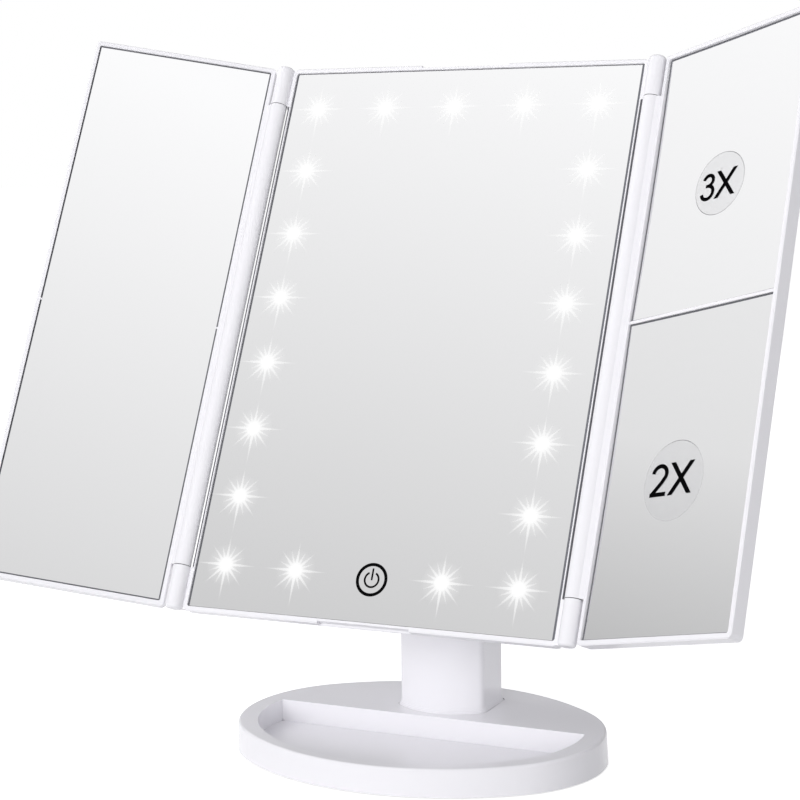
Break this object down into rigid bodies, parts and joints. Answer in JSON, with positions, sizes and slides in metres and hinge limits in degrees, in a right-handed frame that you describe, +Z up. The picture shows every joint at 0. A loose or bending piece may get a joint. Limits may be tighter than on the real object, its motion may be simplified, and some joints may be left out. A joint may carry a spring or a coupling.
{
  "type": "trifold vanity mirror",
  "caption": "Tabletop vanity mirror with folding side wings, a light-studded tilting centre glass, magnifying panels and an oval tray base.",
  "frame": {"origin": "on the table under the middle of the oval base", "axes": "+Z up, -Y towards the person using the mirror, +X to that person's right"},
  "size_m": [0.3286, 0.1514, 0.3019],
  "materials": {
    "white_plastic": "glossy moulded ABS",
    "mirror": "silvered glass",
    "rubber": "moulded grey rubber",
    "steel": "zinc plated",
    "spring_steel": "nickel plated spring steel",
    "cell_jacket": "printed shrink sleeve",
    "green_board": "solder mask on glass-epoxy board",
    "white_board": "white solder mask",
    "copper_foil": "bare copper foil",
    "grey_plastic": "matt moulded nylon",
    "connector_steel": "drawn stainless shell"
  },
  "bodies": {
    "stand": {"base_shell": "white_plastic", "base_floor": "white_plastic", "ballast_plate": "steel", "rest_pad": "rubber", "base_screws": "steel", "column_screws": "steel", "column_shell": "white_plastic", "column_rear_cover": "white_plastic", "battery_upper_left": "cell_jacket", "battery_upper_right": "cell_jacket", "battery_lower_left": "cell_jacket", "battery_lower_right": "cell_jacket", "battery_spring_left": "spring_steel", "battery_spring_right": "spring_steel", "battery_bridge": "spring_steel", "usb_socket": "connector_steel", "power_board": "green_board", "switch_body": "grey_plastic", "tilt_axle": "steel", "tilt_washer_left": "steel", "tilt_washer_right": "steel", "axle_cap_left": "white_plastic", "axle_cap_right": "white_plastic"},
    "panel": {"tilt_bracket": "white_plastic", "bracket_screws": "steel", "center_back": "white_plastic", "center_frame": "white_plastic", "center_glass": "mirror", "led_board": "white_board", "touch_pad": "copper_foil", "control_board": "green_board", "center_screws": "steel", "left_pin_top": "steel", "left_pin_bottom": "steel", "right_pin_top": "steel", "right_pin_bottom": "steel"},
    "left_wing": {"left_wing_frame": "white_plastic", "left_wing_back": "white_plastic", "left_wing_glass": "mirror"},
    "right_wing": {"right_wing_frame": "white_plastic", "right_wing_back": "white_plastic", "right_upper_glass": "mirror", "right_lower_glass": "mirror"},
    "battery_door": {"battery_door": "white_plastic"},
    "main_switch": {"switch_slider": "grey_plastic"}
  },
  "joints": [
    {"name": "panel_tilt", "type": "hinge", "parent": "stand", "child": "panel", "pos_m": [0, 0.0292, 0.1605], "axis": [-1, 0, 0], "range_deg": [-25.4, 64.6]},
    {"name": "left_wing_fold", "type": "hinge", "parent": "panel", "child": "left_wing", "pos_m": [-0.0855, -0.0007, 0.1747], "axis": [0, 0.4289, 0.9033], "range_deg": [-23.3, 156.7]},
    {"name": "right_wing_fold", "type": "hinge", "parent": "panel", "child": "right_wing", "pos_m": [0.0855, -0.0007, 0.1747], "axis": [0, -0.4289, -0.9033], "range_deg": [-30, 150]},
    {"name": "battery_door_swing", "type": "hinge", "parent": "stand", "child": "battery_door", "pos_m": [0, 0.04365, 0.02815], "axis": [-1, 0, 0], "range_deg": [0, 90]},
    {"name": "main_switch_slide", "type": "slide", "parent": "stand", "child": "main_switch", "axis": [1, 0, 0], "range_m": [0, 0.0032]}
  ]
}
